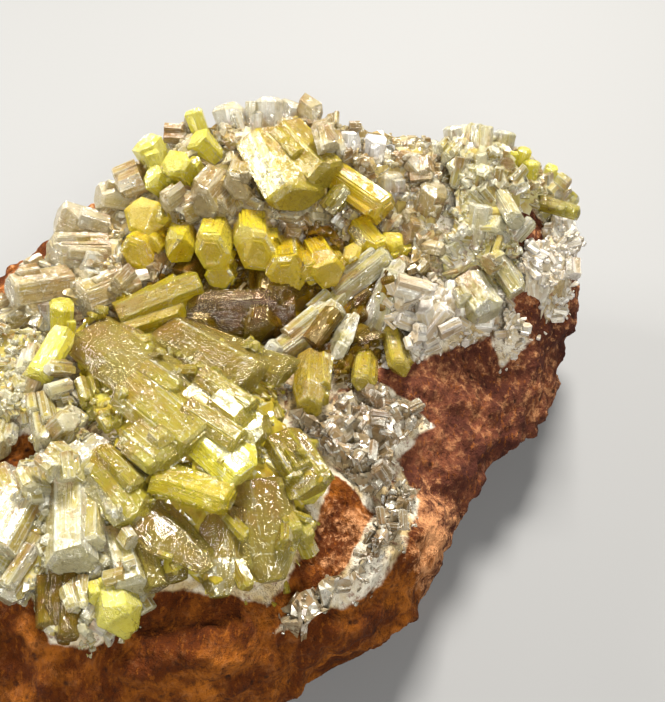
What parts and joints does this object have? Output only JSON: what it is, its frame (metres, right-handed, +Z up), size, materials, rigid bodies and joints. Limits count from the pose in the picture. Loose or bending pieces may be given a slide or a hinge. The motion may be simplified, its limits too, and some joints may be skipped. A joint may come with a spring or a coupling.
{
  "type": "mimetite specimen",
  "caption": "Hand specimen of yellow hexagonal mimetite crystals grown over a lump of rusty limonite, lying on a flat cut.",
  "frame": {"origin": "on the flat cut under the rock, below its middle", "axes": "+Z up out of the crystal-covered side, +X along the longest side, -Y towards the front fan of crystals"},
  "size_m": [0.0624, 0.0615, 0.0278],
  "materials": {
    "limonite": "dry, rough and earthy",
    "olive_crystal": "clear, resinous, with veils",
    "honey_crystal": "clear, resinous",
    "yellow_crystal": "clear, resinous",
    "lemon_crystal": "milky, resinous",
    "straw_crystal": "clear, striated",
    "smoky_crystal": "clear, veiled",
    "druse": "fine sparkling crystals",
    "pale_crystal": "frosted",
    "white_crust": "white and chalky, fine crystals"
  },
  "bodies": {
    "root": {"back_cluster": "druse", "barrel_crystal": "olive_crystal", "centre_crust": "pale_crystal", "centre_prism": "yellow_crystal", "fan_cluster": "straw_crystal", "foot_prism_1": "olive_crystal", "foot_prism_2": "olive_crystal", "front_bud": "lemon_crystal", "front_cluster": "white_crust", "great_prism": "olive_crystal", "honey_row": "honey_crystal", "left_cluster": "druse", "lemon_bud_1": "lemon_crystal", "lemon_bud_2": "lemon_crystal", "lemon_bud_3": "lemon_crystal", "lemon_bud_4": "lemon_crystal", "lemon_bud_5": "lemon_crystal", "lone_bud": "lemon_crystal", "matrix": "limonite", "orange_bud_1": "honey_crystal", "orange_bud_2": "honey_crystal", "pale_block": "pale_crystal", "ridge_cluster": "druse", "ridge_prism": "honey_crystal", "right_cluster": "pale_crystal", "rim_block": "straw_crystal", "rim_bud_1": "lemon_crystal", "rim_bud_2": "lemon_crystal", "rim_crust": "white_crust", "rim_prism": "straw_crystal", "side_prism": "lemon_crystal", "striated_stub": "straw_crystal", "striped_prism": "pale_crystal", "tongue_crust": "pale_crystal", "valley_cluster": "smoky_crystal", "vein_crust": "white_crust", "west_cluster": "pale_crystal", "white_blade_1": "pale_crystal", "white_blade_2": "pale_crystal", "white_tile_1": "white_crust", "white_tile_2": "white_crust", "window_prism": "pale_crystal"}
  },
  "joints": []
}
